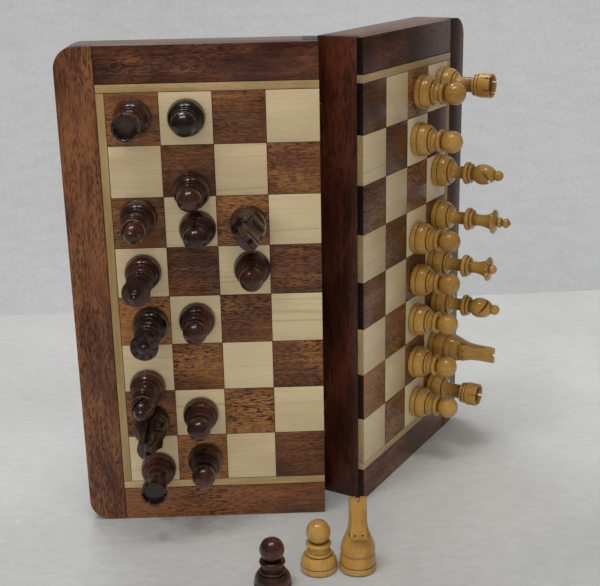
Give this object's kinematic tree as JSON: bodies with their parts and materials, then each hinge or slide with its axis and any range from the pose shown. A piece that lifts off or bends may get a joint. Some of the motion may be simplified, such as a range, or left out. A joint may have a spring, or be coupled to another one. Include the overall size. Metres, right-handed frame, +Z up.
{
  "type": "folding chess box",
  "caption": "Folding chess box: hinged wooden trays with the inlaid playing face outside and slotted velvet inside, standing half open with magnetic pieces on its faces.",
  "frame": {"origin": "centre of the left half's bottom end, where the box stands on the table", "axes": "+Z up, along the length of the standing box; -Y the way the left playing face looks; +X from the left half's outer edge to its hinge edge"},
  "size_m": [0.2381, 0.2152, 0.2534],
  "materials": {
    "rail_wood": "lacquered",
    "strip_wood": "lacquered",
    "dark_square_wood": "lacquered",
    "light_square_wood": "lacquered",
    "wall_wood": "lacquered",
    "plywood": "raw",
    "steel": "matt",
    "velvet": "velvet",
    "brass": "polished",
    "magnet": "nickel plated",
    "dark_piece_wood": "gloss lacquer",
    "light_piece_wood": "gloss lacquer"
  },
  "bodies": {
    "left_half": {"left_border_rails": "rail_wood", "left_inlay_strips": "strip_wood", "left_dark_squares": "dark_square_wood", "left_light_squares": "light_square_wood", "left_steel_sheet": "steel", "left_backing_panel": "plywood", "left_hinge_wall": "wall_wood", "left_tray_walls": "rail_wood", "left_insert": "velvet", "left_hinge_leaves": "brass", "hinge_pins": "brass", "left_hinge_screws": "brass", "left_closing_magnets": "magnet"},
    "right_half": {"right_border_rails": "rail_wood", "right_inlay_strips": "strip_wood", "right_dark_squares": "dark_square_wood", "right_light_squares": "light_square_wood", "right_steel_sheet": "steel", "right_backing_panel": "plywood", "right_hinge_wall": "wall_wood", "right_tray_walls": "rail_wood", "right_insert": "velvet", "right_hinge_leaves": "brass", "right_hinge_screws": "brass", "right_closing_magnets": "magnet"},
    "dark_rook_1": {"dark_rook_1": "dark_piece_wood"},
    "dark_rook_2": {"dark_rook_2": "dark_piece_wood"},
    "dark_knight_1": {"dark_knight_1": "dark_piece_wood"},
    "dark_knight_2": {"dark_knight_2": "dark_piece_wood"},
    "dark_bishop_1": {"dark_bishop_1": "dark_piece_wood"},
    "dark_bishop_2": {"dark_bishop_2": "dark_piece_wood"},
    "dark_queen": {"dark_queen": "dark_piece_wood"},
    "dark_king": {"dark_king": "dark_piece_wood"},
    "dark_pawn_1": {"dark_pawn_1": "dark_piece_wood"},
    "dark_pawn_2": {"dark_pawn_2": "dark_piece_wood"},
    "dark_pawn_3": {"dark_pawn_3": "dark_piece_wood"},
    "dark_pawn_4": {"dark_pawn_4": "dark_piece_wood"},
    "dark_pawn_5": {"dark_pawn_5": "dark_piece_wood"},
    "dark_pawn_6": {"dark_pawn_6": "dark_piece_wood"},
    "dark_pawn_7": {"dark_pawn_7": "dark_piece_wood"},
    "dark_pawn_8": {"dark_pawn_8": "dark_piece_wood"},
    "light_rook_1": {"light_rook_1": "light_piece_wood"},
    "light_rook_2": {"light_rook_2": "light_piece_wood"},
    "light_knight_1": {"light_knight_1": "light_piece_wood"},
    "light_knight_2": {"light_knight_2": "light_piece_wood"},
    "light_bishop_1": {"light_bishop_1": "light_piece_wood"},
    "light_bishop_2": {"light_bishop_2": "light_piece_wood"},
    "light_queen": {"light_queen": "light_piece_wood"},
    "light_king": {"light_king": "light_piece_wood"},
    "light_pawn_1": {"light_pawn_1": "light_piece_wood"},
    "light_pawn_2": {"light_pawn_2": "light_piece_wood"},
    "light_pawn_3": {"light_pawn_3": "light_piece_wood"},
    "light_pawn_4": {"light_pawn_4": "light_piece_wood"},
    "light_pawn_5": {"light_pawn_5": "light_piece_wood"},
    "light_pawn_6": {"light_pawn_6": "light_piece_wood"},
    "light_pawn_7": {"light_pawn_7": "light_piece_wood"},
    "light_pawn_8": {"light_pawn_8": "light_piece_wood"}
  },
  "joints": [
    {"name": "fold", "type": "hinge", "parent": "left_half", "child": "right_half", "pos_m": [0.0639, 0.01315, 0], "axis": [0, 0, 1], "range_deg": [-57.8, 122.2]},
    {"name": "dark_rook_1_lift", "type": "slide", "parent": "left_half", "child": "dark_rook_1", "axis": [0, -1, 0], "range_m": [0, 0.06]},
    {"name": "dark_rook_2_lift", "type": "slide", "parent": "left_half", "child": "dark_rook_2", "axis": [0, -1, 0], "range_m": [0, 0.06]},
    {"name": "dark_knight_1_lift", "type": "slide", "parent": "left_half", "child": "dark_knight_1", "axis": [0, -1, 0], "range_m": [0, 0.06]},
    {"name": "dark_knight_2_lift", "type": "slide", "parent": "left_half", "child": "dark_knight_2", "axis": [0, -1, 0], "range_m": [0, 0.06]},
    {"name": "dark_bishop_1_lift", "type": "slide", "parent": "left_half", "child": "dark_bishop_1", "axis": [0, -1, 0], "range_m": [0, 0.06]},
    {"name": "dark_bishop_2_lift", "type": "slide", "parent": "left_half", "child": "dark_bishop_2", "axis": [0, -1, 0], "range_m": [0, 0.06]},
    {"name": "dark_queen_lift", "type": "slide", "parent": "left_half", "child": "dark_queen", "axis": [0, -1, 0], "range_m": [0, 0.06]},
    {"name": "dark_king_lift", "type": "slide", "parent": "left_half", "child": "dark_king", "axis": [0, -1, 0], "range_m": [0, 0.06]},
    {"name": "dark_pawn_1_lift", "type": "slide", "parent": "left_half", "child": "dark_pawn_1", "axis": [0, -1, 0], "range_m": [0, 0.06]},
    {"name": "dark_pawn_2_lift", "type": "slide", "parent": "left_half", "child": "dark_pawn_2", "axis": [0, -1, 0], "range_m": [0, 0.06]},
    {"name": "dark_pawn_3_lift", "type": "slide", "parent": "left_half", "child": "dark_pawn_3", "axis": [0, -1, 0], "range_m": [0, 0.06]},
    {"name": "dark_pawn_4_lift", "type": "slide", "parent": "left_half", "child": "dark_pawn_4", "axis": [0, -1, 0], "range_m": [0, 0.06]},
    {"name": "dark_pawn_5_lift", "type": "slide", "parent": "left_half", "child": "dark_pawn_5", "axis": [0, -1, 0], "range_m": [0, 0.06]},
    {"name": "dark_pawn_6_lift", "type": "slide", "parent": "left_half", "child": "dark_pawn_6", "axis": [0, -1, 0], "range_m": [0, 0.06]},
    {"name": "dark_pawn_7_lift", "type": "slide", "parent": "left_half", "child": "dark_pawn_7", "axis": [0, -1, 0], "range_m": [0, 0.06]},
    {"name": "dark_pawn_8_lift", "type": "slide", "parent": "left_half", "child": "dark_pawn_8", "axis": [0, 0, 1], "range_m": [0, 0.06]},
    {"name": "light_rook_1_lift", "type": "slide", "parent": "right_half", "child": "light_rook_1", "axis": [0.8462, -0.5329, 0], "range_m": [0, 0.06]},
    {"name": "light_rook_2_lift", "type": "slide", "parent": "right_half", "child": "light_rook_2", "axis": [0.8462, -0.5329, 0], "range_m": [0, 0.06]},
    {"name": "light_knight_1_lift", "type": "slide", "parent": "right_half", "child": "light_knight_1", "axis": [0.8462, -0.5329, 0], "range_m": [0, 0.06]},
    {"name": "light_knight_2_lift", "type": "slide", "parent": "left_half", "child": "light_knight_2", "axis": [0, 0, 1], "range_m": [0, 0.06]},
    {"name": "light_bishop_1_lift", "type": "slide", "parent": "right_half", "child": "light_bishop_1", "axis": [0.8462, -0.5329, 0], "range_m": [0, 0.06]},
    {"name": "light_bishop_2_lift", "type": "slide", "parent": "right_half", "child": "light_bishop_2", "axis": [0.8462, -0.5329, 0], "range_m": [0, 0.06]},
    {"name": "light_queen_lift", "type": "slide", "parent": "right_half", "child": "light_queen", "axis": [0.8462, -0.5329, 0], "range_m": [0, 0.06]},
    {"name": "light_king_lift", "type": "slide", "parent": "right_half", "child": "light_king", "axis": [0.8462, -0.5329, 0], "range_m": [0, 0.06]},
    {"name": "light_pawn_1_lift", "type": "slide", "parent": "right_half", "child": "light_pawn_1", "axis": [0.8462, -0.5329, 0], "range_m": [0, 0.06]},
    {"name": "light_pawn_2_lift", "type": "slide", "parent": "right_half", "child": "light_pawn_2", "axis": [0.8462, -0.5329, 0], "range_m": [0, 0.06]},
    {"name": "light_pawn_3_lift", "type": "slide", "parent": "right_half", "child": "light_pawn_3", "axis": [0.8462, -0.5329, 0], "range_m": [0, 0.06]},
    {"name": "light_pawn_4_lift", "type": "slide", "parent": "right_half", "child": "light_pawn_4", "axis": [0.8462, -0.5329, 0], "range_m": [0, 0.06]},
    {"name": "light_pawn_5_lift", "type": "slide", "parent": "right_half", "child": "light_pawn_5", "axis": [0.8462, -0.5329, 0], "range_m": [0, 0.06]},
    {"name": "light_pawn_6_lift", "type": "slide", "parent": "right_half", "child": "light_pawn_6", "axis": [0.8462, -0.5329, 0], "range_m": [0, 0.06]},
    {"name": "light_pawn_7_lift", "type": "slide", "parent": "right_half", "child": "light_pawn_7", "axis": [0.8462, -0.5329, 0], "range_m": [0, 0.06]},
    {"name": "light_pawn_8_lift", "type": "slide", "parent": "left_half", "child": "light_pawn_8", "axis": [0, 0, 1], "range_m": [0, 0.06]}
  ]
}
